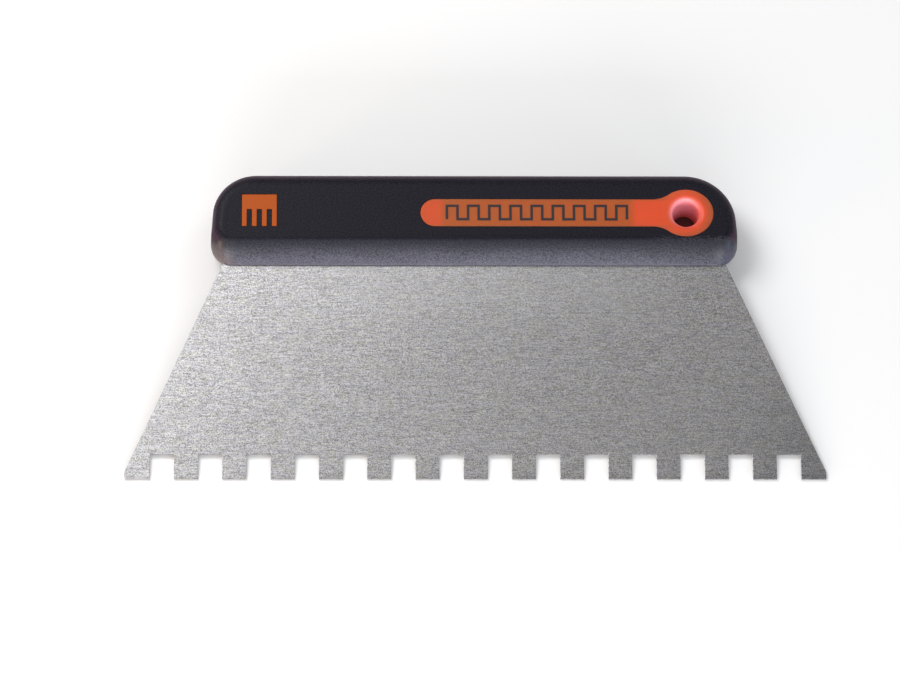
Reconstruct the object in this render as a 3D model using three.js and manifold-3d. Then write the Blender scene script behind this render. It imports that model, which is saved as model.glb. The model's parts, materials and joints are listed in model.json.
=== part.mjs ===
// A notched adhesive spreader. A trapezoidal steel blade, square notches along its working edge, is riveted
// between the two halves of a moulded core. A soft grip is moulded round the core and leaves a stripe of it
// bare on each face, which widens into a ring round the hanging hole.
//
// Millimetres. The tool is drawn in its own plane first: X along the working edge, Y from the tips of the
// teeth up to the handle, Z out of the front face, with the blade's middle plane at Z = 0. The last section
// lays it on a table.

import * as THREE from "three";
import { mergeVertices } from "three/addons/utils/BufferGeometryUtils.js";
import Module from "manifold-3d";

// ---- Blade -------------------------------------------------------------------------------------------
const bladeThickness = 1.0;
const edgeLength = 291; // tip to tip along the working edge
const notchWidth = 10;
const notchPitch = 20; // notch and tooth
const notchDepth = 10.7;
const endToothLeast = 8; // the outermost teeth are at least this wide
const tipFlat = 3; // short square end above each outer tooth, so that it isn't a spike
const bladeReach = 94.2; // tips of the teeth to the handle's lower lip
const bladeInset = 5.3; // the handle's end to the blade's side, at the lip

// ---- Handle, outside ---------------------------------------------------------------------------------
const handleLength = 222.8; // at its widest, just above the lower corners
const handleHeight = 38.8;
const handleThickness = 20;
const endLean = THREE.MathUtils.degToRad(4); // its ends close in towards the top
const topCornerRadius = 18.5; // at the badge's end
const holeCornerRadius = 22; // at the hanging hole's end
const lowerCornerRadius = 9.5;
const topEdgeRadius = 7; // rounding from each face over the top
const endEdgeRadius = 5; // rounding from each face round the ends
const lipThickness = 3; // the handle's lower edge, where the blade comes out
const bevelHeight = 8.7; // from the lip up to the crease where each flat face starts
const bevelFullness = 0.5; // 1 is a flat bevel, less is rounder
const gripSkin = 2.4; // soft material over the core

// ---- Bare stripe and hanging hole --------------------------------------------------------------------
const stripeWidth = 12.2;
const stripeHeight = 20.2; // the stripe's middle, above the lip
const stripeLength = 111.5; // from its round end to the middle of the hanging hole
const holeFromEnd = 22.6; // middle of the hanging hole, from the handle's end
const holeDiameter = 10.6;
const holeRim = 2.4; // rounding of the hole's mouth on each face
const ringLength = 23.2;
const ringHeight = 21;
const ringBlend = 12; // radius where the stripe runs into the ring

// ---- Badge: a comb of square teeth let into each face ------------------------------------------------
const badgeTeeth = 4;
const badgeToothWidth = 2.1;
const badgeToothLength = 7.6;
const badgeBar = 6.6;
const badgeFromEnd = 21.1; // middle of the badge, from the handle's other end
const badgeRise = 1; // middle of the badge, above the stripe's middle

// ---- Fixings -----------------------------------------------------------------------------------------
const rivetCount = 5;
const rivetToRing = 4.9; // the last rivet's middle to the ring, along the handle
const rivetToTangTop = 4.5;
const tangToHole = 1; // wall of core between the tang and the hanging hole
const rivetRadius = 2;
const rivetHeadRadius = 3.2;
const rivetHeadHeight = 1.2;
const rivetCrownRadius = 2.2; // the flat on top of a head
const rivetGrip = 6; // core and tang clamped between the two heads
const pegCount = 3;
const pegPitch = 55;
const pegFromTop = 8.5; // below the handle's top, clear of the tang
const pegRadius = 1.6;
const pegLength = 4;

const fitGap = 0.3; // between any two pieces
const overrun = 5; // how far a cutter passes the face that it cuts
const arcSteps = 4; // fineness of an arc
const edgeSteps = 4; // levels in the rounding of the handle's edges
const roundSides = 20; // sides of a hole, rivet or peg
const halvings = 40; // of an angle that is found by trying

const halfThickness = handleThickness / 2;
const holeX = handleLength / 2 - holeFromEnd;
const badgeX = badgeFromEnd - handleLength / 2;
const stripeY = bladeReach + stripeHeight;
const tangTop = stripeY - holeDiameter / 2 - tangToHole;
const notchCount = 1 + Math.floor((edgeLength - 2 * endToothLeast - notchWidth) / notchPitch);

const materials = {
  steel: new THREE.MeshStandardMaterial({ color: 0xa9a9ab, roughness: 0.38, metalness: 1 }),
  soft: new THREE.MeshStandardMaterial({ color: 0x2a2831, roughness: 0.6, metalness: 0 }),
  core: new THREE.MeshStandardMaterial({ color: 0xd8572c, roughness: 0.45, metalness: 0 }),
  rivet: new THREE.MeshStandardMaterial({ color: 0xb8b8b4, roughness: 0.4, metalness: 1 }),
};

// ---- Solids ------------------------------------------------------------------------------------------
const wasm = await Module();
wasm.setup();

function solidOf(geometry) {
  const bare = geometry.clone();
  bare.deleteAttribute("normal");
  bare.deleteAttribute("uv");
  const merged = mergeVertices(bare, 1e-4);
  const triangles = [];
  for (let i = 0; i < merged.index.count; i += 3) {
    const [a, b, c] = merged.index.array.slice(i, i + 3);
    if (a !== b && b !== c && c !== a) {
      triangles.push(a, b, c);
    }
  }
  return new wasm.Manifold(
    new wasm.Mesh({
      numProp: 3,
      vertProperties: merged.attributes.position.array,
      triVerts: new Uint32Array(triangles),
    }),
  );
}

function geometryOf(solid) {
  const mesh = solid.getMesh();
  const geometry = new THREE.BufferGeometry();
  geometry.setAttribute("position", new THREE.BufferAttribute(new Float32Array(mesh.vertProperties), 3));
  geometry.setIndex(new THREE.BufferAttribute(new Uint32Array(mesh.triVerts), 1));
  geometry.computeVertexNormals();
  return geometry;
}

// A flat outline raised from one height to another.
function prism(outline, from, to) {
  const geometry = new THREE.ExtrudeGeometry(outline, {
    depth: to - from,
    bevelEnabled: false,
    curveSegments: arcSteps,
  });
  return solidOf(geometry.translate(0, 0, from));
}

// A round post, or a cutter for a round hole, standing square to the blade.
function post(x, y, radius, from, to) {
  const geometry = new THREE.CylinderGeometry(radius, radius, to - from, roundSides);
  return solidOf(geometry.rotateX(Math.PI / 2).translate(x, y, (from + to) / 2));
}

// A closed skin over a stack of rings that all have the same number of points.
function loft(rings) {
  const count = rings[0].length;
  const places = rings.flatMap((ring) => ring.flatMap((p) => [p.x, p.y, p.z]));
  const faces = [];
  for (let level = 0; level + 1 < rings.length; level++) {
    for (let i = 0; i < count; i++) {
      const a = level * count + i;
      const b = level * count + ((i + 1) % count);
      faces.push(a, b, b + count, a, b + count, a + count);
    }
  }
  const lid = THREE.ShapeUtils.triangulateShape(rings[0].map((p) => new THREE.Vector2(p.x, p.y)), []);
  const last = (rings.length - 1) * count;
  for (const [a, b, c] of lid) {
    faces.push(c, b, a, last + a, last + b, last + c);
  }
  const geometry = new THREE.BufferGeometry();
  geometry.setAttribute("position", new THREE.Float32BufferAttribute(places, 3));
  geometry.setIndex(faces);
  return solidOf(geometry);
}

// ---- Outlines in the tool's plane --------------------------------------------------------------------
// The blade's sides run straight from the outer teeth, past the handle's lower corners, to the tang's top.
function bladeHalfWidth(y) {
  const atLip = handleLength / 2 - bladeInset;
  const lean = (edgeLength / 2 - atLip) / (bladeReach - tipFlat);
  return edgeLength / 2 - Math.max(0, y - tipFlat) * lean;
}

function bladeOutline() {
  const outline = new THREE.Shape();
  const firstNotch = -(notchPitch * (notchCount - 1) + notchWidth) / 2;
  outline.moveTo(-edgeLength / 2, 0);
  for (let i = 0; i < notchCount; i++) {
    const left = firstNotch + i * notchPitch;
    outline.lineTo(left, 0);
    outline.lineTo(left, notchDepth);
    outline.lineTo(left + notchWidth, notchDepth);
    outline.lineTo(left + notchWidth, 0);
  }
  outline.lineTo(edgeLength / 2, 0);
  outline.lineTo(edgeLength / 2, tipFlat);
  outline.lineTo(bladeHalfWidth(tangTop), tangTop);
  outline.lineTo(-bladeHalfWidth(tangTop), tangTop);
  outline.lineTo(-edgeLength / 2, tipFlat);
  outline.closePath();
  for (const [x, y] of rivetPlaces()) {
    outline.holes.push(new THREE.Path().absarc(x, y, rivetRadius + fitGap, 0, 2 * Math.PI, true));
  }
  return outline;
}

// The slot that the tang fills, open below the lip.
function tangSlot() {
  const low = bladeReach - overrun;
  const high = tangTop + fitGap;
  const outline = new THREE.Shape([
    new THREE.Vector2(-bladeHalfWidth(low) - fitGap, low),
    new THREE.Vector2(bladeHalfWidth(low) + fitGap, low),
    new THREE.Vector2(bladeHalfWidth(high) + fitGap, high),
    new THREE.Vector2(-bladeHalfWidth(high) - fitGap, high),
  ]);
  const halfSlot = bladeThickness / 2 + fitGap;
  return prism(outline, -halfSlot, halfSlot);
}

// Where a blend arc touches the ring, as an angle on the ring and the lean of the ring's normal there. The
// arc's middle lies off the ring by its radius, and over the stripe's middle by rise.
function blendTouch(ringX, ringY, blend, rise) {
  const leanAt = (angle) => Math.atan2(Math.sin(angle) / ringY, Math.cos(angle) / ringX);
  let low = 0;
  let high = Math.PI / 2;
  for (let i = 0; i < halvings; i++) {
    const angle = (low + high) / 2;
    if (ringY * Math.sin(angle) + blend * Math.sin(leanAt(angle)) < rise) {
      low = angle;
    } else {
      high = angle;
    }
  }
  return { touch: low, lean: leanAt(low) };
}

// The bare stripe with its ring, grown all round by a margin.
function stripeOutline(margin) {
  const half = stripeWidth / 2 + margin;
  const ringX = ringLength / 2 + margin;
  const ringY = ringHeight / 2 + margin;
  const blend = Math.max(ringBlend - margin, fitGap);
  const rise = half + blend;
  const { touch, lean } = blendTouch(ringX, ringY, blend, rise);
  const neck = holeX - ringX * Math.cos(touch) - blend * Math.cos(lean);
  const startX = holeX - stripeLength + stripeWidth / 2;
  const outline = new THREE.Shape();
  outline.absarc(startX, stripeY, half, Math.PI / 2, 1.5 * Math.PI, false);
  outline.absarc(neck, stripeY - rise, blend, Math.PI / 2, lean, true);
  outline.absellipse(holeX, stripeY, ringX, ringY, touch - Math.PI, Math.PI - touch, false);
  outline.absarc(neck, stripeY + rise, blend, -lean, -Math.PI / 2, true);
  outline.closePath();
  return outline;
}

// The badge's comb, grown all round by a margin, its teeth pointing at the blade.
function badgeOutline(margin) {
  const width = (2 * badgeTeeth - 1) * badgeToothWidth;
  const top = stripeY + badgeRise + (badgeBar + badgeToothLength) / 2;
  const root = top - badgeBar - margin;
  const tip = top - badgeBar - badgeToothLength - margin;
  const left = badgeX - width / 2;
  const outline = new THREE.Shape();
  outline.moveTo(left - margin, top + margin);
  for (let i = 0; i < badgeTeeth; i++) {
    const x = left + 2 * i * badgeToothWidth;
    outline.lineTo(x - margin, i === 0 ? tip : root);
    if (i > 0) {
      outline.lineTo(x - margin, tip);
    }
    outline.lineTo(x + badgeToothWidth + margin, tip);
    if (i + 1 < badgeTeeth) {
      outline.lineTo(x + badgeToothWidth + margin, root);
    }
  }
  outline.lineTo(left + width + margin, top + margin);
  outline.closePath();
  return outline;
}

// ---- The handle's rounded body -----------------------------------------------------------------------
// The handle's outline with its edges drawn in by these amounts.
function handleRing(z, ends, top, bottom) {
  const shrunk = (radius, amount) => Math.max(radius - amount, fitGap);
  const lower = shrunk(lowerCornerRadius, ends);
  const low = bottom + lower;
  const room = handleHeight - top - low; // for an upper corner, over the lower one
  const byBadge = Math.min(shrunk(topCornerRadius, (ends + top) / 2), room);
  const byHole = Math.min(shrunk(holeCornerRadius, (ends + top) / 2), room);
  const badgeY = handleHeight - top - byBadge;
  const holeY = handleHeight - top - byHole;
  // How far from the middle a corner's arc is centred, so that it touches the leaning end.
  const centre = (y, radius) =>
    handleLength / 2 - ends - Math.tan(endLean) * y - radius / Math.cos(endLean);
  const outline = new THREE.Shape();
  outline.absarc(centre(low, lower), low, lower, -Math.PI / 2, endLean);
  outline.absarc(centre(holeY, byHole), holeY, byHole, endLean, Math.PI / 2);
  outline.absarc(-centre(badgeY, byBadge), badgeY, byBadge, Math.PI / 2, Math.PI - endLean);
  outline.absarc(-centre(low, lower), low, lower, Math.PI - endLean, 1.5 * Math.PI);
  return outline.getPoints(arcSteps).map((p) => new THREE.Vector3(p.x, p.y + bladeReach, z));
}

// How far a round edge has drawn in at a height above the middle plane.
function drawnIn(z, radius) {
  const over = Math.max(0, z - (halfThickness - radius));
  return radius - Math.sqrt(radius ** 2 - over ** 2);
}

function bevelDrawnIn(z) {
  const share = Math.max(0, (z - lipThickness / 2) / (halfThickness - lipThickness / 2));
  return bevelHeight * (bevelFullness * share + (1 - bevelFullness) * share ** 2);
}

// Heights of the rings over the middle plane: the lip, then closer together towards the face.
function edgeLevels() {
  const levels = [];
  for (let i = 0; i <= edgeSteps; i++) {
    const share = Math.sin((i / edgeSteps) * (Math.PI / 2));
    levels.push(lipThickness / 2 + (halfThickness - lipThickness / 2) * share);
  }
  return levels;
}

// The whole handle with this much taken off it all over.
function handleBody(skin) {
  const thinner = (halfThickness - skin) / halfThickness;
  const ring = (z, side) =>
    handleRing(
      side * z * thinner,
      drawnIn(z, endEdgeRadius) + skin,
      drawnIn(z, topEdgeRadius) + skin,
      bevelDrawnIn(z) + skin,
    );
  const levels = edgeLevels();
  return loft([...levels.toReversed().map((z) => ring(z, -1)), ...levels.map((z) => ring(z, 1))]);
}

// The hanging hole's cutter, its mouth rounded out on each face.
function holeCutter() {
  const radius = holeDiameter / 2;
  const profile = [new THREE.Vector2(0, -halfThickness - overrun)];
  const arc = (side, angle) =>
    new THREE.Vector2(
      radius + holeRim * (1 - Math.cos(angle)),
      side * (halfThickness - holeRim + holeRim * Math.sin(angle)),
    );
  profile.push(new THREE.Vector2(radius + holeRim, -halfThickness - overrun));
  for (let i = arcSteps; i >= 0; i--) {
    profile.push(arc(-1, (i / arcSteps) * (Math.PI / 2)));
  }
  for (let i = 0; i <= arcSteps; i++) {
    profile.push(arc(1, (i / arcSteps) * (Math.PI / 2)));
  }
  profile.push(new THREE.Vector2(radius + holeRim, halfThickness + overrun));
  profile.push(new THREE.Vector2(0, halfThickness + overrun));
  const geometry = new THREE.LatheGeometry(profile, roundSides).rotateX(Math.PI / 2);
  return solidOf(geometry.translate(holeX, stripeY, 0));
}

// ---- Pieces ------------------------------------------------------------------------------------------
// count places in a row, evenly about the middle.
function row(count, pitch, y) {
  return Array.from({ length: count }, (_, i) => [(i - (count - 1) / 2) * pitch, y]);
}

function rivetPlaces() {
  const spread = 2 * (holeX - ringLength / 2 - rivetToRing);
  return row(rivetCount, spread / (rivetCount - 1), tangTop - rivetToTangTop);
}

function pegPlaces() {
  return row(pegCount, pegPitch, bladeReach + handleHeight - pegFromTop);
}

// One half of the core, on the side of the blade given by 1 or -1. The front half carries the pegs.
function coreHalf(side, slot, hole) {
  const far = side * (halfThickness + overrun);
  const near = (side * fitGap) / 2;
  const low = bladeReach - overrun;
  const high = bladeReach + handleHeight + overrun;
  const block = new THREE.Shape([
    new THREE.Vector2(-handleLength, low),
    new THREE.Vector2(handleLength, low),
    new THREE.Vector2(handleLength, high),
    new THREE.Vector2(-handleLength, high),
  ]);
  const stripe = prism(stripeOutline(0), -halfThickness, halfThickness);
  let half = handleBody(gripSkin + fitGap).add(stripe);
  half = half.intersect(prism(block, Math.min(near, far), Math.max(near, far)));
  half = half.subtract(slot).subtract(hole);
  for (const [x, y] of rivetPlaces()) {
    half = half.subtract(post(x, y, rivetRadius + fitGap, -halfThickness, halfThickness));
    const seat = side * (rivetGrip / 2 - fitGap);
    half = half.subtract(
      post(x, y, rivetHeadRadius + fitGap, Math.min(seat, far), Math.max(seat, far)),
    );
  }
  for (const [x, y] of pegPlaces()) {
    half =
      side > 0
        ? half.add(post(x, y, pegRadius, -pegLength, pegLength))
        : half.subtract(post(x, y, pegRadius + fitGap, -pegLength - fitGap, overrun));
  }
  return half;
}

// The grip is hollow: the core fills it, and shows through a window in each face.
function grip(slot) {
  const window = prism(stripeOutline(fitGap), -halfThickness - overrun, halfThickness + overrun);
  const pocket = prism(badgeOutline(fitGap), -halfThickness - overrun, halfThickness + overrun);
  const cavity = handleBody(gripSkin).add(window).add(pocket).add(slot);
  return handleBody(0).subtract(cavity);
}

// A badge fills its pocket from the core's face out to the grip's.
function badge(side) {
  const low = side * (halfThickness - gripSkin);
  const high = side * halfThickness;
  return prism(badgeOutline(0), Math.min(low, high), Math.max(low, high));
}

// A rivet with a low round head at each end.
function rivet(x, y) {
  const half = rivetGrip / 2;
  const profile = [
    new THREE.Vector2(0, -half - rivetHeadHeight),
    new THREE.Vector2(rivetCrownRadius, -half - rivetHeadHeight),
    new THREE.Vector2(rivetHeadRadius, -half),
    new THREE.Vector2(rivetRadius, -half),
    new THREE.Vector2(rivetRadius, half),
    new THREE.Vector2(rivetHeadRadius, half),
    new THREE.Vector2(rivetCrownRadius, half + rivetHeadHeight),
    new THREE.Vector2(0, half + rivetHeadHeight),
  ];
  const geometry = new THREE.LatheGeometry(profile, roundSides).rotateX(Math.PI / 2);
  return solidOf(geometry.translate(x, y, 0));
}

// ---- Assembly ----------------------------------------------------------------------------------------
const tool = new THREE.Group();

function place(name, solid, material) {
  const mesh = new THREE.Mesh(geometryOf(solid), material);
  mesh.name = name;
  tool.add(mesh);
}

const slot = tangSlot();
const hole = holeCutter();

place("blade", prism(bladeOutline(), -bladeThickness / 2, bladeThickness / 2), materials.steel);
place("core_front", coreHalf(1, slot, hole), materials.core);
place("core_rear", coreHalf(-1, slot, hole), materials.core);
place("grip", grip(slot), materials.soft);
place("badge_front", badge(1), materials.core);
place("badge_rear", badge(-1), materials.core);
rivetPlaces().forEach(([x, y], i) => place(`rivet_${i + 1}`, rivet(x, y), materials.rivet));

// ---- Laid on a table ---------------------------------------------------------------------------------
// Face up, the tool rests on the tips of its teeth and on the lower part of the handle's back, so the
// blade slopes. The slope is the steepest line from the tips' lower edge to any level of the handle.
function restSlope() {
  const steepest = edgeLevels().map((z) =>
    Math.atan2(z - bladeThickness / 2, bladeReach + bevelDrawnIn(z)),
  );
  return Math.max(...steepest);
}

const part = new THREE.Group();
tool.rotation.x = restSlope();
part.add(tool);
part.updateMatrixWorld(true);
const box = new THREE.Box3().setFromObject(part, true);
tool.position.set(-(box.min.x + box.max.x) / 2, -(box.min.y + box.max.y) / 2, -box.min.z);

export default part;
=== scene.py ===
import json
import math

import bpy
import numpy as np
from mathutils import Matrix, Vector


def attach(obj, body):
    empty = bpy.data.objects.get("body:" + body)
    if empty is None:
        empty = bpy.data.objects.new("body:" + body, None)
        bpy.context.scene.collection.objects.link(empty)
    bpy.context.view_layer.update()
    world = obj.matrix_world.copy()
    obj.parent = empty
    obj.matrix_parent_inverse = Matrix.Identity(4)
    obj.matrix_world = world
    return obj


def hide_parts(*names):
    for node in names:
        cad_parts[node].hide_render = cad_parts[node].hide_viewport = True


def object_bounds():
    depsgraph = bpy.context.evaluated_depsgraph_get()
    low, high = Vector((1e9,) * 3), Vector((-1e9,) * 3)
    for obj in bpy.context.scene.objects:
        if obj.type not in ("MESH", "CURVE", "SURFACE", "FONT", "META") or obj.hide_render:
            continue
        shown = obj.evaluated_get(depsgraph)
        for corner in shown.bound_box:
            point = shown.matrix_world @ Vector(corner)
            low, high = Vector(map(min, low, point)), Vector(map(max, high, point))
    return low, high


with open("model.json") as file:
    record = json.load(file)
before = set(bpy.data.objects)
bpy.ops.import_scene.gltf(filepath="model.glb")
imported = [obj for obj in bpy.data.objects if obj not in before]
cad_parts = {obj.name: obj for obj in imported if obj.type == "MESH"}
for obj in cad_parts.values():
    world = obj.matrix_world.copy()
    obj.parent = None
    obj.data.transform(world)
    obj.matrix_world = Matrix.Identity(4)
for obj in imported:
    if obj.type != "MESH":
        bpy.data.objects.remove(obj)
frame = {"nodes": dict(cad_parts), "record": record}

cad_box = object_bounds()

# A notched adhesive spreader: a brushed steel blade in a black soft-grip handle, with a bare orange stripe
# and a hanging hole. Sizes are millimetres in the tool's own plane: X along the working edge, Y from the
# tips of the teeth up to the handle, Z out of the front face, with the blade's middle plane at Z = 0.

# ---- Sizes -------------------------------------------------------------------------------------------
BLADE_THICK = 1.0
EDGE_LENGTH = 291
TIP_FLAT = 3
BLADE_REACH = 94.2
BLADE_INSET = 5.3
BLADE_EDGE_ROUND = 0.12

HANDLE_LENGTH = 222.8
HANDLE_HEIGHT = 38.8
HALF_THICK = 10
END_LEAN = math.radians(4)
TOP_CORNER = 18.5
HOLE_CORNER = 22
LOWER_CORNER = 9.5
TOP_EDGE = 7
END_EDGE = 5
HALF_LIP = 1.5
BEVEL_HEIGHT = 8.7
BEVEL_FULLNESS = 0.5
CREASE_ROUND = 2.5
GRIP_SKIN = 2.4

STRIPE_WIDTH = 12.2
STRIPE_Y = BLADE_REACH + 20.2
STRIPE_LENGTH = 111.5
HOLE_X = HANDLE_LENGTH / 2 - 22.6
HOLE_RADIUS = 5.3
HOLE_DRAFT = 0.045  # the hole opens towards the front by this much a millimetre
HOLE_RIM = 2.4
RING_HALF_LENGTH = 11.6
RING_HALF_HEIGHT = 10.5
RING_BLEND = 12

BADGE_TEETH = 4
BADGE_TOOTH = 2.1
BADGE_TOOTH_LENGTH = 7.6
BADGE_BAR = 6.6
BADGE_X = 21.1 - HANDLE_LENGTH / 2
BADGE_Y = STRIPE_Y + 1

PRINT_START = -11.6
PRINT_END = 64
PRINT_HEIGHT = 6
PRINT_STROKE = 1.1
PRINT_TEETH = 9
INK_THICK = 0.04

TANG_TO_HOLE = 1
PARTING_RISE = 0.06  # the line that the mould's two halves leave round the grip
PARTING_WIDTH = 0.4
SEAM = 0.05  # between the grip and what shows through it
CAD_GAP = 0.3  # between hidden faces
EDGE_ROUND = 0.25
ARC_STEPS = 18
LEVELS = 24
OVERRUN = 5
ROUND_SIDES = 72
HALVINGS = 40  # of an angle that is found by trying

# ---- The tool on the table -----------------------------------------------------------------------------
# Two of the record's mounts give the slope that the tool rests at, and where it lies.
mounts = {m["name"]: m for m in frame["record"]["mounts"]}
face_axis = Vector(mounts["handle_front"]["axis"])
rest_slope = math.atan2(-face_axis.y, face_axis.z)
lay = Matrix.Rotation(rest_slope, 4, "X")
lay.translation = Vector(mounts["hanging_hole"]["pos_m"]) * 1000 - lay @ Vector((HOLE_X, STRIPE_Y, 0))
on_table = Matrix.Scale(0.001, 4) @ lay


# ---- Shader maths ------------------------------------------------------------------------------------
class Value:
    """A node's output that adds Math nodes when it is used in an expression."""

    def __init__(self, paint, socket):
        self.paint, self.socket = paint, socket

    def maths(self, operation, first, second=None):
        inputs = {0: first} if second is None else {0: first, 1: second}
        return self.paint.node("ShaderNodeMath", {"operation": operation}, inputs)

    def __add__(self, other):
        return self.maths("ADD", self, other)

    def __sub__(self, other):
        return self.maths("SUBTRACT", self, other)

    def __rsub__(self, other):
        return self.maths("SUBTRACT", other, self)

    def __mul__(self, other):
        return self.maths("MULTIPLY", self, other)

    def __pow__(self, other):
        return self.maths("POWER", self, other)

    def __abs__(self):
        return self.maths("ABSOLUTE", self)

    __radd__ = __add__
    __rmul__ = __mul__


class Paint:
    """One material, with the tool's own millimetres as its coordinates."""

    def __init__(self, name):
        self.material = bpy.data.materials.new(name)
        self.material.use_nodes = True
        self.tree = self.material.node_tree
        self.shader = self.tree.nodes["Principled BSDF"]
        back = lay.inverted()
        self.place = self.node(
            "ShaderNodeMapping",
            {},
            {
                "Vector": self.node("ShaderNodeTexCoord", {}, {}, "Object"),
                "Location": back.translation,
                "Rotation": (-rest_slope, 0, 0),
                "Scale": (1000, 1000, 1000),
            },
        )
        split = self.node("ShaderNodeSeparateXYZ", {}, {"Vector": self.place}).socket.node
        self.x, self.y, self.z = (Value(self, out) for out in split.outputs)

    def node(self, kind, settings, inputs, output=0):
        """Adds a node: its settings first, then the values or links of its sockets."""
        made = self.tree.nodes.new(kind)
        for key, setting in settings.items():
            setattr(made, key, setting)
        for key, value in inputs.items():
            self.feed(made.inputs[key], value)
        return Value(self, made.outputs[output])

    def feed(self, socket, value):
        if isinstance(value, Value):
            self.tree.links.new(value.socket, socket)
        else:
            socket.default_value = value

    def set(self, **values):
        """Sets the shader's sockets, named with _ for a space."""
        for key, value in values.items():
            self.feed(self.shader.inputs[key.replace("_", " ")], value)

    def step(self, value, low, high):
        """0 below low and 1 above high, smooth between, or the other way round if low is above high."""
        return self.node(
            "ShaderNodeMapRange",
            {"interpolation_type": "SMOOTHSTEP"},
            {"Value": value, "From Min": low, "From Max": high},
        )

    def noise(self, size, detail=2.0, rough=0.5, warp=0.0, shift=(0, 0, 0)):
        """Noise whose features are about size millimetres along each axis."""
        place = self.node(
            "ShaderNodeMapping",
            {},
            {"Vector": self.place, "Location": shift, "Scale": [1 / s for s in size]},
        )
        return self.node(
            "ShaderNodeTexNoise",
            {},
            {"Vector": place, "Scale": 1, "Detail": detail, "Roughness": rough, "Distortion": warp},
        )

    def mix(self, share, first, second):
        """A colour between two colours."""
        return self.node("ShaderNodeMix", {"data_type": "RGBA"}, {0: share, 6: first, 7: second}, 2)

    def bump(self, height, depth):
        """A relief of depth millimetres, where height runs from 0 to 1."""
        return self.node("ShaderNodeBump", {}, {"Height": height, "Distance": depth / 1000, "Strength": 1})

    def from_hole(self, above=0):
        """How far a place is from the hanging hole's middle, or from a point above it on the tool."""
        return ((self.x - HOLE_X) ** 2 + (self.y - (STRIPE_Y + above)) ** 2) ** 0.5


def rgb(*screen):
    """A colour as seen on a screen, red, green and blue from 0 to 255, as the shader's linear one."""
    shares = [c / 255 for c in screen]
    return (*(((c + 0.055) / 1.055) ** 2.4 if c > 0.04 else c / 12.92 for c in shares), 1)


# ---- Finishes ------------------------------------------------------------------------------------------
def brushed_steel():
    """Cold-rolled stainless sheet, brushed along the working edge in short, slightly wavy strokes."""
    paint = Paint("brushed_steel")
    strokes = paint.noise((4.5, 0.24, 1), 2, 0.6, 0.5)
    hairs = paint.noise((1.6, 0.2, 1), 1, 0.5, 0.3, (7, 3, 0))
    grit = paint.noise((0.38, 0.3, 1), 1, 0.5, 0, (5, 2, 0))
    broad = paint.noise((42, 20, 1), 2, 0.5, 0, (2, 9, 0))
    tarnish = paint.noise((4.5, 0.9, 1), 1, 0.5, 0.5, (11, 5, 0))
    flecks = paint.step(paint.noise((1.3, 0.5, 1), 1, 0.5, 0, (17, 8, 0)), 0.76, 0.84)
    grain = strokes * 0.3 + hairs * 0.15 + grit * 0.55
    bright = paint.step(grain, 0.38, 0.62)
    violet_or_straw = paint.step(tarnish, 0.35, 0.65)
    groove = paint.mix(violet_or_straw, (0.205, 0.2, 0.222, 1), (0.212, 0.207, 0.198, 1))
    ridge = paint.mix(violet_or_straw, (0.755, 0.745, 0.78, 1), (0.77, 0.76, 0.735, 1))
    colour = paint.mix(bright, groove, ridge)
    colour = paint.mix(paint.step(broad, 0.35, 0.65) * 0.12, colour, (0.3, 0.3, 0.31, 1))
    colour = paint.mix(flecks * 0.5, colour, (0.95, 0.95, 1, 1))
    # Painted light: the steel is made paler near the handle.
    painted_light_by_handle = paint.step(paint.y, 55, BLADE_REACH) * paint.step(abs(paint.x), 105, 40)
    colour = paint.mix(painted_light_by_handle * 0.14, colour, (0.9, 0.9, 0.92, 1))
    # Painted shade: the steel is made darker towards the far lower corner.
    painted_shade_far_corner = paint.step(paint.x, 95, 150) * paint.step(paint.y, 75, 15)
    colour = paint.mix(painted_shade_far_corner * 0.35, colour, (0.16, 0.16, 0.17, 1))
    rubbed = paint.step(paint.y, 2.5, 0)
    paint.set(
        Base_Color=colour,
        Metallic=1,
        Roughness=0.42 - 0.08 * bright + 0.06 * broad - 0.06 * rubbed,
        Normal=paint.bump(grain, 0.02),
    )
    return paint.material


def bevel_dust_and_light(paint, grain, above_lip):
    """How pale the bevel is made: partly pale dust, partly painted light, as if the bevel caught light from
    the front and below. It grows down the bevel towards the blade.
    """
    cloud = paint.noise((16, 4, 5), 3, 0.6)
    to_blade = paint.step(above_lip, BEVEL_HEIGHT, -4)
    return to_blade * (0.75 + 0.25 * paint.step(cloud, 0.3, 0.7)) * (0.38 + 1.05 * grain)


def crease_scuffs(paint, above_lip):
    """Thin broken lines along the bevel's crease, under the hanging hole."""
    hanging_end = paint.step(paint.x, HOLE_X - 22, HOLE_X - 6)
    at_crease = paint.step(abs(above_lip - BEVEL_HEIGHT - 0.2), 1.6, 0.3)
    threads = paint.noise((1.8, 1.2, 2), 3, 0.7, 1.0, (3, 8, 2))
    return paint.step(abs(threads - 0.5), 0.02, 0.003) * at_crease * hanging_end


def corner_highlight(paint, grain, above_lip):
    """A painted highlight along the outer edge of the two lower corners."""
    past_centre = abs(paint.x) - (HANDLE_LENGTH / 2 - LOWER_CORNER)
    from_centre = (past_centre**2 + (above_lip - LOWER_CORNER) ** 2) ** 0.5
    low_corner = paint.step(past_centre, -3, 4) * paint.step(above_lip, LOWER_CORNER + 1, 5)
    return paint.step(from_centre, 4.5, LOWER_CORNER) * low_corner * (0.6 + 0.4 * grain)


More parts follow.
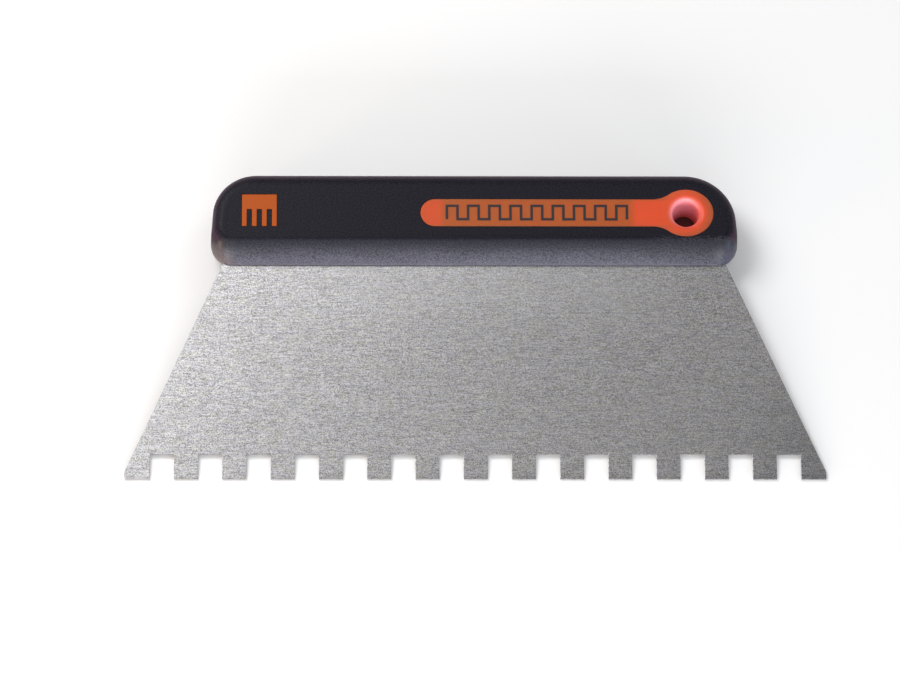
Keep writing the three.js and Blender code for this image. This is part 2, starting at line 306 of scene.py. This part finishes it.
def soft_grip():
    """Black soft-touch moulding: pale dust and painted light on the bevel, scuffs under the hole, a painted
    reddish reflection on the rounded edges, a painted pale line at the lip, and painted highlights on the
    lower corners.
    """
    paint = Paint("soft_grip")
    skin = paint.noise((0.35, 0.35, 0.35), 3, 0.6)
    grain = paint.step(paint.noise((0.6, 0.5, 0.5), 2, 0.7, 0, (4, 4, 4)), 0.35, 0.65)
    above_lip = paint.y - BLADE_REACH
    on_bevel = paint.step(above_lip, BEVEL_HEIGHT + 0.6, BEVEL_HEIGHT - 1.2)
    from_middle = abs(paint.z)
    # Painted reflection: a reddish band on the grip's rounded edges and sides, fading towards the middle
    # plane.
    painted_reflection_on_rounding = paint.step(from_middle, HALF_THICK - 0.2, HALF_THICK - 2.5) * (1 - on_bevel)
    painted_reflection_on_rounding = painted_reflection_on_rounding * (0.3 + 0.7 * paint.step(from_middle, 2, HALF_THICK - 4))
    colour = paint.mix(painted_reflection_on_rounding, rgb(4, 2, 17), rgb(56, 37, 52))
    # The bevel's paler colour is partly painted light, as if it caught the light from the front.
    colour = paint.mix(on_bevel, colour, rgb(24, 25, 36))
    colour = paint.mix(grain * 0.08, colour, rgb(120, 118, 130))
    dust_and_light = bevel_dust_and_light(paint, grain, above_lip)
    # The pale dust and painted light grow fainter towards the hanging end.
    fainter_at_hanging_end = paint.step(paint.x, 60, 105)
    colour = paint.mix(dust_and_light * (1 - 0.3 * fainter_at_hanging_end), colour, rgb(112, 112, 126))
    specks = paint.step(paint.noise((0.5, 0.5, 0.5), 2, 0.7, 0, (9, 1, 6)), 0.66, 0.76)
    colour = paint.mix(specks * (0.08 + 0.15 * on_bevel), colour, rgb(140, 140, 150))
    colour = paint.mix(crease_scuffs(paint, above_lip) * 0.35, colour, rgb(140, 140, 150))
    # Painted light: a pale line along the lip, in place of the shade where the grip meets the blade.
    painted_light_at_lip = paint.step(above_lip, 0.5, 0.1)
    colour = paint.mix(painted_light_at_lip * 0.3, colour, rgb(118, 118, 128))
    # Painted highlights on the two lower corners: warm on the left, cool on the right.
    warm_or_cool_highlight = paint.mix(paint.step(paint.x, -1, 1), rgb(126, 104, 96), rgb(74, 77, 102))
    colour = paint.mix(corner_highlight(paint, grain, above_lip) * 0.55, colour, warm_or_cool_highlight)
    at_corner = paint.step(abs(paint.x), HANDLE_LENGTH / 2 - 13, HANDLE_LENGTH / 2 - 5)
    paint.set(
        Base_Color=colour,
        Roughness=0.44 + 0.12 * skin + 0.1 * dust_and_light,
        Specular_IOR_Level=0.18,
        Coat_Weight=at_corner * on_bevel * 0.5,
        Coat_Roughness=0.3,
        Normal=paint.bump(skin, 0.03),
    )
    return paint.material


def stripe_colour(paint):
    """The stripe's orange, duller under the print."""
    cloud = paint.noise((7, 3, 4), 2, 0.5, 0, (3, 3, 3))
    along = paint.step(paint.x, PRINT_START, HOLE_X - 12)
    colour = paint.mix(along, rgb(209, 78, 20), rgb(227, 77, 28))
    colour = paint.mix(paint.step(cloud, 0.3, 0.7) * 0.3, colour, rgb(208, 80, 34))
    past_end = paint.step(paint.x, PRINT_END + 5, PRINT_END)
    past_start = paint.step(paint.x, PRINT_START - 4, PRINT_START)
    return paint.mix(past_start * past_end * (0.7 + 0.3 * cloud), colour, rgb(172, 84, 16))


def orange_core():
    """Orange moulded plastic, with painted light round the hanging hole: a painted glow in the hole's wall
    stands in for light coming through the plastic, the mouth and wall carry a painted pink sheen, brightest
    towards the upper left, and the ring is painted paler towards the upper left and darker towards the
    lower right. The mouth is also glossier, as if polished by use.
    """
    paint = Paint("orange_core")
    skin = paint.noise((0.5, 0.5, 0.5), 3, 0.6)
    from_hole = paint.from_hole()
    on_ring = paint.step(paint.x, HOLE_X - 11, HOLE_X - 4)
    outward = paint.step(from_hole, HOLE_RADIUS + HOLE_RIM - 0.5, RING_HALF_HEIGHT + 0.4) * on_ring
    # Painted light and shade on the ring round the hole: paler towards the upper left, darker towards the
    # lower right.
    painted_shade_lower_right = paint.step(paint.x - HOLE_X - 0.6 * (paint.y - STRIPE_Y), -5, 7)
    colour = stripe_colour(paint)
    colour = paint.mix(outward * (1 - painted_shade_lower_right) * 0.5, colour, rgb(206, 100, 56))
    colour = paint.mix(outward * painted_shade_lower_right * 0.75, colour, rgb(164, 82, 38))
    rim = paint.step(abs(paint.y - STRIPE_Y), STRIPE_WIDTH / 2 - 0.9, STRIPE_WIDTH / 2) * (1 - on_ring)
    colour = paint.mix(rim * 0.45, colour, rgb(150, 84, 44))
    mouth = paint.step(from_hole, HOLE_RADIUS + HOLE_RIM + 0.6, HOLE_RADIUS + HOLE_RIM - 1.2)
    bore = paint.step(from_hole, HOLE_RADIUS + 2, HOLE_RADIUS + 0.4)
    lit_upper_left = paint.step(0.8 * (paint.y - STRIPE_Y) - 0.6 * (paint.x - HOLE_X), -5, 7)
    # Painted sheen: the hole's mouth and wall are painted pink, brightest towards the upper left, where the
    # light comes from.
    colour = paint.mix(mouth * (0.15 + 0.55 * lit_upper_left), colour, rgb(232, 122, 112))
    colour = paint.mix(bore * (0.3 + 0.55 * lit_upper_left), colour, rgb(240, 140, 146))
    # Painted glow: the hole's wall glows, fading towards the rear face.
    painted_glow_in_bore = bore * paint.step(paint.z, -HALF_THICK, HALF_THICK)
    glow = paint.mix(lit_upper_left, (0.07, 0.008, 0.006, 1), (0.26, 0.135, 0.175, 1))
    colour = paint.mix(paint.step(skin, 0.62, 0.75) * 0.12, colour, rgb(240, 190, 160))
    paint.set(
        Base_Color=colour,
        Roughness=0.42 + 0.1 * skin,
        Subsurface_Weight=0.5,
        Subsurface_Radius=(1, 0.4, 0.35),
        Subsurface_Scale=0.005,
        Coat_Weight=mouth * (0.12 + 0.7 * lit_upper_left),
        Coat_Roughness=0.35,
        Emission_Color=paint.mix(painted_glow_in_bore, (0, 0, 0, 1), glow),
        Emission_Strength=1,
        Normal=paint.bump(skin, 0.03),
    )
    return paint.material


def badge_orange():
    paint = Paint("badge_orange")
    skin = paint.noise((0.5, 0.5, 0.5), 3, 0.6)
    paint.set(
        Base_Color=paint.mix(skin, rgb(170, 76, 10), rgb(184, 82, 14)),
        Roughness=0.45 + 0.1 * skin,
        Specular_IOR_Level=0.25,
        Normal=paint.bump(skin, 0.03),
    )
    return paint.material


def print_ink():
    """Black pad-printing ink, thin enough for the orange to warm it."""
    paint = Paint("print_ink")
    skin = paint.noise((0.4, 0.4, 0.4), 2, 0.6)
    paint.set(
        Base_Color=paint.mix(skin, rgb(30, 18, 26), rgb(52, 32, 34)),
        Roughness=0.5 + 0.1 * skin,
        Normal=paint.bump(skin, 0.01),
    )
    return paint.material


def rivet_metal():
    paint = Paint("rivet_metal")
    skin = paint.noise((0.8, 0.8, 0.8), 2, 0.5)
    paint.set(
        Base_Color=paint.mix(skin, (0.6, 0.6, 0.6, 1), (0.72, 0.72, 0.72, 1)),
        Metallic=1,
        Roughness=0.4 + 0.1 * skin,
    )
    return paint.material


def floor_paint():
    """Near white, and a little lit, but for a painted shadow under the hanging hole: a dark spot that does
    not glow, seen through the hole.
    """
    paint = Paint("floor_paint")
    cloud = paint.noise((240, 240, 240), 2, 0.5)
    colour = paint.mix(cloud, rgb(250, 250, 250), rgb(254, 254, 254))
    # Painted shadow: a dark spot on the floor under the hanging hole, with no glow.
    painted_shadow_under_hole = paint.step(paint.from_hole(3), 9.5, 7)
    paint.set(
        Base_Color=paint.mix(painted_shadow_under_hole, colour, rgb(122, 104, 105)),
        Emission_Color=paint.mix(painted_shadow_under_hole, (1, 1, 1, 1), (0, 0, 0, 1)),
        Emission_Strength=0.1,
        Roughness=0.8,
    )
    return paint.material


# ---- Solids, in the tool's millimetres -------------------------------------------------------------------
def solid(verts, faces):
    mesh = bpy.data.meshes.new("solid")
    mesh.from_pydata([tuple(v) for v in verts], [], faces)
    mesh.validate()
    made = bpy.data.objects.new("solid", mesh)
    bpy.context.scene.collection.objects.link(made)
    return made


def loft(rings):
    """A closed skin over a stack of rings that all have the same number of points."""
    count = len(rings[0])
    verts = [p for ring in rings for p in ring]
    faces = [tuple(range(count))[::-1], tuple(range(len(verts) - count, len(verts)))]
    for level in range(len(rings) - 1):
        low = level * count
        for i in range(count):
            j = (i + 1) % count
            faces.append((low + i, low + j, low + j + count, low + i + count))
    return solid(verts, faces)


def prism(outline, low, high):
    """A flat outline, anticlockwise, raised from one height to another."""
    return loft([[(x, y, z) for x, y in outline] for z in (low, high)])


def lathe(x, y, profile, sides=ROUND_SIDES):
    """A round solid standing square to the blade. The profile is a list of radius and height, going up."""
    turns = [2 * math.pi * i / sides for i in range(sides)]
    return loft([[(x + r * math.cos(a), y + r * math.sin(a), z) for a in turns] for r, z in profile])


def combine(target, operation, *tools):
    """Cuts, joins or intersects target with the tools, which are used up."""
    for tool in tools:
        modifier = target.modifiers.new("cut", "BOOLEAN")
        modifier.operation = operation
        modifier.solver = "EXACT"
        modifier.object = tool
    shape = target.evaluated_get(bpy.context.evaluated_depsgraph_get())
    mesh = bpy.data.meshes.new_from_object(shape)
    target.modifiers.clear()
    target.data = mesh
    for tool in tools:
        bpy.data.objects.remove(tool)
    return target


def finish_piece(made, name, material, slot, *stands_for, edge=EDGE_ROUND):
    """Names and paints a solid, rounds its sharp edges, lays it on the table, hangs it under the root body,
    and hides the CAD parts it stands for.
    """
    made.name = made.data.name = name
    made.data.transform(on_table)
    for polygon in made.data.polygons:
        polygon.use_smooth = True
    made.data.materials.clear()
    made.data.materials.append(material)
    if edge:
        rounding = made.modifiers.new("edges", "BEVEL")
        rounding.width = edge / 1000
        rounding.segments = 3
        rounding.limit_method = "ANGLE"
        rounding.angle_limit = math.radians(28)
        rounding.use_clamp_overlap = False
    weigh = made.modifiers.new("normals", "WEIGHTED_NORMAL")
    weigh.keep_sharp = False
    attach(made, "root")
    if stands_for:
        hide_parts(*stands_for)
    return made


# ---- Outlines ------------------------------------------------------------------------------------------
def arc(x, y, across, up, start, end, steps=ARC_STEPS):
    turns = np.linspace(start, end, steps + 1)
    return [(x + across * math.cos(a), y + up * math.sin(a)) for a in turns]


def blade_half_width(y):
    at_lip = HANDLE_LENGTH / 2 - BLADE_INSET
    lean = (EDGE_LENGTH / 2 - at_lip) / (BLADE_REACH - TIP_FLAT)
    return EDGE_LENGTH / 2 - (y - TIP_FLAT) * lean


def blend_touch(across, up, blend, rise):
    """Where a blend arc touches the ring: an angle on the ring, and the lean of the ring's normal there."""

    def lean_at(angle):
        return math.atan2(math.sin(angle) / up, math.cos(angle) / across)

    low, high = 0, math.pi / 2
    for _ in range(HALVINGS):
        angle = (low + high) / 2
        if up * math.sin(angle) + blend * math.sin(lean_at(angle)) < rise:
            low = angle
        else:
            high = angle
    return low, lean_at(low)


def stripe_outline(margin):
    """The bare stripe with its ring, grown all round by a margin."""
    half = STRIPE_WIDTH / 2 + margin
    across, up = RING_HALF_LENGTH + margin, RING_HALF_HEIGHT + margin
    blend = RING_BLEND - margin
    rise = half + blend
    touch, lean = blend_touch(across, up, blend, rise)
    neck = HOLE_X - across * math.cos(touch) - blend * math.cos(lean)
    start = HOLE_X - STRIPE_LENGTH + STRIPE_WIDTH / 2
    points = arc(start, STRIPE_Y, half, half, math.pi / 2, 1.5 * math.pi)
    points += arc(neck, STRIPE_Y - rise, blend, blend, math.pi / 2, lean)
    points += arc(HOLE_X, STRIPE_Y, across, up, touch - math.pi, math.pi - touch, 3 * ARC_STEPS)
    points += arc(neck, STRIPE_Y + rise, blend, blend, -lean, -math.pi / 2)
    return points


def badge_outline(margin):
    """A comb with its teeth pointing at the blade, grown all round by a margin."""
    width = (2 * BADGE_TEETH - 1) * BADGE_TOOTH
    top = BADGE_Y + (BADGE_BAR + BADGE_TOOTH_LENGTH) / 2
    root = top - BADGE_BAR - margin
    tip = root - BADGE_TOOTH_LENGTH
    left = BADGE_X - width / 2
    points = [(left - margin, top + margin)]
    for i in range(BADGE_TEETH):
        x = left + 2 * i * BADGE_TOOTH
        if i:
            points.append((x - margin, root))
        points += [(x - margin, tip), (x + BADGE_TOOTH + margin, tip)]
        if i + 1 < BADGE_TEETH:
            points.append((x + BADGE_TOOTH + margin, root))
    points.append((left + width + margin, top + margin))
    return points


# ---- The handle's rounded body -------------------------------------------------------------------------
def drawn_in(z, radius):
    """How far a round edge has drawn in at a height above the middle plane."""
    over = max(0, z - (HALF_THICK - radius))
    return radius - math.sqrt(radius**2 - over**2)


def bevel_drawn_in(z):
    """How far the lower bevel has drawn in. It curves up from the lip and rolls over into the flat face."""

    def curve(height):
        share = max(0, (height - HALF_LIP) / (HALF_THICK - HALF_LIP))
        return BEVEL_HEIGHT * (BEVEL_FULLNESS * share + (1 - BEVEL_FULLNESS) * share**2)

    steepness = BEVEL_HEIGHT / (HALF_THICK - HALF_LIP) * (2 - BEVEL_FULLNESS)
    tilt = math.atan(steepness)
    touch = HALF_THICK - CREASE_ROUND * (1 - math.sin(tilt))
    if z <= touch:
        return curve(z)
    roll_centre = curve(touch) + CREASE_ROUND * math.cos(tilt)
    return roll_centre - math.sqrt(CREASE_ROUND**2 - (z - (HALF_THICK - CREASE_ROUND)) ** 2)


def handle_ring(z, ends, top, bottom):
    """The handle's outline at a height, with its edges drawn in by these amounts."""
    lower = max(LOWER_CORNER - ends, CAD_GAP)
    by_badge = TOP_CORNER - (ends + top) / 2
    by_hole = HOLE_CORNER - (ends + top) / 2
    low = bottom + lower
    badge_y = HANDLE_HEIGHT - top - by_badge
    hole_y = HANDLE_HEIGHT - top - by_hole

    def centre(y, radius):
        return HANDLE_LENGTH / 2 - ends - math.tan(END_LEAN) * y - radius / math.cos(END_LEAN)

    quarter = math.pi / 2
    points = arc(centre(low, lower), low, lower, lower, -quarter, END_LEAN)
    points += arc(centre(hole_y, by_hole), hole_y, by_hole, by_hole, END_LEAN, quarter)
    points += arc(-centre(badge_y, by_badge), badge_y, by_badge, by_badge, quarter, math.pi - END_LEAN)
    points += arc(-centre(low, lower), low, lower, lower, math.pi - END_LEAN, 3 * quarter)
    return [(x, y + BLADE_REACH, z) for x, y in points]


def handle_body(skin):
    """The whole handle with this much taken off it all over. The outermost has the mould's parting line."""
    thinner = (HALF_THICK - skin) / HALF_THICK
    rises = [math.sin(math.pi / 2 * i / LEVELS) for i in range(LEVELS + 1)]
    heights = [HALF_LIP + (HALF_THICK - HALF_LIP) * rise for rise in rises]

    def ring(z):
        high = abs(z)
        ends = drawn_in(high, END_EDGE) + skin
        top = drawn_in(high, TOP_EDGE) + skin
        return handle_ring(z * thinner, ends, top, bevel_drawn_in(high) + skin)

    def parting(z, rise):
        return handle_ring(z, -rise, -rise, -rise)

    middle = []
    if skin == 0:
        half = PARTING_WIDTH / 2
        crest = half / 3
        middle = [parting(z, PARTING_RISE if abs(z) < half else 0) for z in (-half, -crest, crest, half)]
    return loft([ring(-z) for z in reversed(heights)] + middle + [ring(z) for z in heights])


# ---- Pieces ---------------------------------------------------------------------------------------------
def tang_slot():
    low, high = BLADE_REACH - OVERRUN, STRIPE_Y - HOLE_RADIUS - TANG_TO_HOLE + CAD_GAP
    half = BLADE_THICK / 2 + SEAM
    left, right = blade_half_width(low) + SEAM, blade_half_width(high) + SEAM
    return prism([(-left, low), (left, low), (right, high), (-right, high)], -half, half)


def hole_cutter():
    """The hanging hole with its draft and its rounded mouths."""
    far = HALF_THICK + OVERRUN
    start = HALF_THICK - HOLE_RIM

    def radius(z):
        return HOLE_RADIUS + HOLE_DRAFT * z

    turns = np.linspace(0, math.pi / 2, ARC_STEPS // 2 + 1)
    mouth = [(HOLE_RIM * (1 - math.cos(a)), start + HOLE_RIM * math.sin(a)) for a in turns]
    low = [(radius(-start) + wider, -z) for wider, z in reversed(mouth)]
    high = [(radius(start) + wider, z) for wider, z in mouth]
    profile = [(low[0][0], -far), *low, *high, (high[-1][0], far)]
    return lathe(HOLE_X, STRIPE_Y, profile)


def make_grip(material):
    far = HALF_THICK + OVERRUN
    grip = handle_body(0)
    combine(
        grip,
        "DIFFERENCE",
        handle_body(GRIP_SKIN),
        prism(stripe_outline(SEAM), -far, far),
        prism(badge_outline(SEAM), -far, far),
        tang_slot(),
    )
    return finish_piece(grip, "soft_grip", material, "grip_soft", "grip")


def make_core(side, name, material, node):
    """One half of the core: the hidden body, and the stripe and ring that stand up to the grip's face."""
    core = handle_body(GRIP_SKIN + CAD_GAP)
    combine(core, "UNION", prism(stripe_outline(0), -HALF_THICK, HALF_THICK))
    near, far = side * SEAM / 2, side * (HALF_THICK + OVERRUN)
    low, high = BLADE_REACH - OVERRUN, BLADE_REACH + HANDLE_HEIGHT + OVERRUN
    reach = HANDLE_LENGTH
    block = [(-reach, low), (reach, low), (reach, high), (-reach, high)]
    combine(core, "INTERSECT", prism(block, min(near, far), max(near, far)))
    combine(core, "DIFFERENCE", tang_slot(), hole_cutter())
    return finish_piece(core, name, material, "core_plastic", node)


def make_badge(side, name, material, node):
    low, high = side * (HALF_THICK - GRIP_SKIN), side * HALF_THICK
    badge = prism(badge_outline(0), min(low, high), max(low, high))
    return finish_piece(badge, name, material, "badge_plastic", node)


def thick_line(points, width):
    """The outline of a line of this width that turns only at right angles."""
    steps = [np.sign(np.subtract(b, a)) for a, b in zip(points, points[1:])]
    steps = [steps[0], *steps, steps[-1]]
    left = []
    right = []
    for point, before, after in zip(points, steps, steps[1:]):
        turn = before + after if before @ after == 0 else before
        aside = np.array((-turn[1], turn[0])) * width / 2
        left.append(tuple(point + aside))
        right.append(tuple(point - aside))
    return right + left[::-1]


def make_print(side, name, material):
    """A printed square wave along the stripe: the ridges of adhesive that the notches leave."""
    pitch = (PRINT_END - PRINT_START) / (PRINT_TEETH - 0.5)
    low, high = STRIPE_Y - PRINT_HEIGHT / 2, STRIPE_Y + PRINT_HEIGHT / 2
    wave = []
    for i in range(PRINT_TEETH):
        x = PRINT_START + i * pitch
        wave += [(x, low), (x, high), (x + pitch / 2, high), (x + pitch / 2, low)]
    base, top = side * (HALF_THICK - INK_THICK), side * (HALF_THICK + INK_THICK)
    ink = prism(thick_line(wave, PRINT_STROKE), min(base, top), max(base, top))
    return finish_piece(ink, name, material, "core_plastic", edge=0)


def dress_cad(name, material):
    node = frame["nodes"][name]
    node.data.materials.clear()
    node.data.materials.append(material)
    return node


def dress_blade(material):
    blade = dress_cad("blade", material)
    weld = blade.modifiers.new("weld", "WELD")
    weld.merge_threshold = 1e-6
    rounding = blade.modifiers.new("edges", "BEVEL")
    rounding.width = BLADE_EDGE_ROUND / 1000
    rounding.segments = 2
    rounding.limit_method = "ANGLE"
    rounding.angle_limit = math.radians(40)
    return blade


# ---- The camera ----------------------------------------------------------------------------------------
def set_camera():
    """Looks at the front face from the teeth's side, from far enough for the notches to stay square."""
    tilt, turn, roll = math.radians(19.47), math.radians(-1.0), math.radians(-0.28)
    distance, lens = 2200, 210.3
    aim = Vector((0, 65, 0))
    left, down = 10.38, 2.55
    back = Vector((math.sin(turn) * math.cos(tilt), -math.sin(tilt), math.cos(turn) * math.cos(tilt)))
    right = Vector((0, 1, 0)).cross(back).normalized()
    up = back.cross(right)
    right, up = (
        right * math.cos(roll) + up * math.sin(roll),
        up * math.cos(roll) - right * math.sin(roll),
    )
    spot = aim + back * distance - right * left - up * down
    turn_to = lay.to_3x3()
    axes = Matrix((turn_to @ right, turn_to @ up, turn_to @ back)).transposed().to_4x4()
    data = bpy.data.cameras.new("camera")
    data.lens, data.sensor_width = lens, 36
    data.clip_start, data.clip_end = 0.1, 20
    camera = bpy.data.objects.new("camera", data)
    bpy.context.scene.collection.objects.link(camera)
    axes.translation = on_table @ spot
    camera.matrix_world = axes
    bpy.context.scene.camera = camera


# ---- Floor and lights ------------------------------------------------------------------------------------
def set_floor():
    size, gap = 6, 0.0002
    bpy.ops.mesh.primitive_plane_add(size=size, location=(0, 0, cad_box[0].z - gap))
    floor = bpy.context.object
    floor.name = "floor"
    floor.data.materials.append(floor_paint())


def softbox(name, place, aim, size, power, colour=(1, 1, 1)):
    data = bpy.data.lights.new(name, "AREA")
    data.shape = "RECTANGLE"
    data.size, data.size_y = size
    data.energy = power
    data.color = colour
    light = bpy.data.objects.new(name, data)
    bpy.context.scene.collection.objects.link(light)
    light.location = place
    light.rotation_euler = (Vector(aim) - Vector(place)).to_track_quat("-Z", "Y").to_euler()


def set_lights():
    world = bpy.data.worlds.new("studio")
    bpy.context.scene.world = world
    world.use_nodes = True
    sky = world.node_tree.nodes["Background"]
    sky.inputs["Color"].default_value = (1, 1, 1, 1)
    sky.inputs["Strength"].default_value = 0.25
    softbox("overhead_left", (-0.44, 0.36, 0.75), (0, 0.04, 0), (0.5, 0.5), 4.9)
    softbox("front_low", (0, -0.9, 0.22), (0, 0.03, 0.01), (1.3, 0.3), 10)
    softbox("right_cool", (0.75, -0.42, 0.2), (0.1, 0.04, 0.01), (0.2, 0.2), 0.9, (0.62, 0.72, 1))
    softbox("left_warm", (-0.75, -0.42, 0.2), (-0.1, 0.04, 0.01), (0.2, 0.2), 1.6, (1, 0.66, 0.48))
    softbox("back_right", (0.95, 0.85, 0.9), (0.2, 0.25, 0), (0.8, 0.8), 3)


set_camera()
set_floor()
set_lights()
make_grip(soft_grip())
orange = orange_core()
make_core(1, "front_core", orange, "core_front")
make_core(-1, "rear_core", orange, "core_rear")
ink = print_ink()
make_print(1, "front_print", ink)
make_print(-1, "rear_print", ink)
badge_paint = badge_orange()
make_badge(1, "front_badge", badge_paint, "badge_front")
make_badge(-1, "rear_badge", badge_paint, "badge_rear")
dress_blade(brushed_steel())
rivet_paint = rivet_metal()
for node_name in frame["nodes"]:
    if node_name.startswith("rivet"):
        dress_cad(node_name, rivet_paint)
bpy.context.scene.view_settings.view_transform = "Standard"
